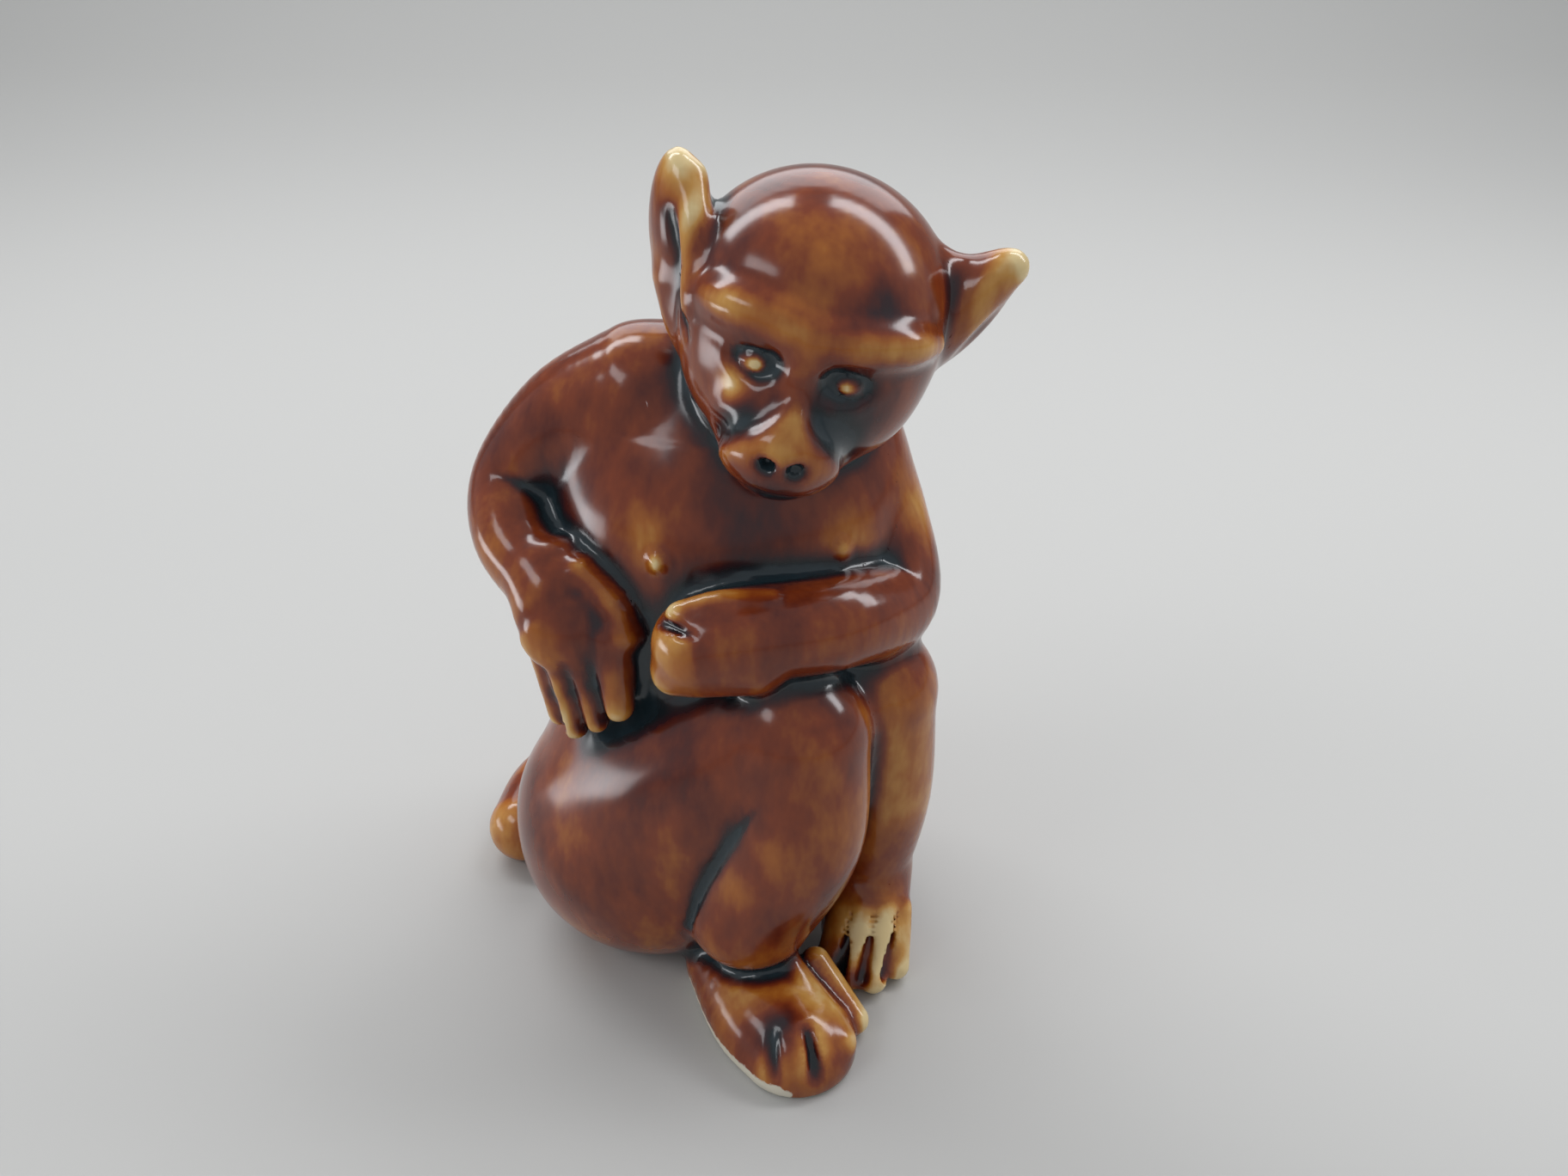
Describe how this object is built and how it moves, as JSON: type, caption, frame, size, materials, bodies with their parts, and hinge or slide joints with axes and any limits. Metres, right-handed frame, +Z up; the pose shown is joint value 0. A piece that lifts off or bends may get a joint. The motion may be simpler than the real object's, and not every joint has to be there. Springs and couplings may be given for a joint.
{
  "type": "seated monkey figurine",
  "caption": "Seated monkey figurine with bowed head and folded arms, hollow glazed earthenware with a flat unglazed base.",
  "frame": {"origin": "centre of the bounding box in plan, on the flat base", "axes": "+Z up, the monkey faces -Y, its right hand on the -X side"},
  "size_m": [0.0694, 0.0674, 0.1065],
  "materials": {
    "glazed_body": "thick glossy transparent amber-brown glaze over cream earthenware: red-brown on broad faces, honey to cream where it ran thin on ridges, blue-black where it pooled in grooves; bare cream clay on the sole edge"
  },
  "bodies": {
    "root": {"torso": "glazed_body", "head": "glazed_body", "right_ear": "glazed_body", "left_ear": "glazed_body", "right_arm": "glazed_body", "left_arm": "glazed_body", "right_leg": "glazed_body", "left_leg": "glazed_body", "right_foot": "glazed_body", "left_foot": "glazed_body", "tail": "glazed_body"}
  },
  "joints": []
}
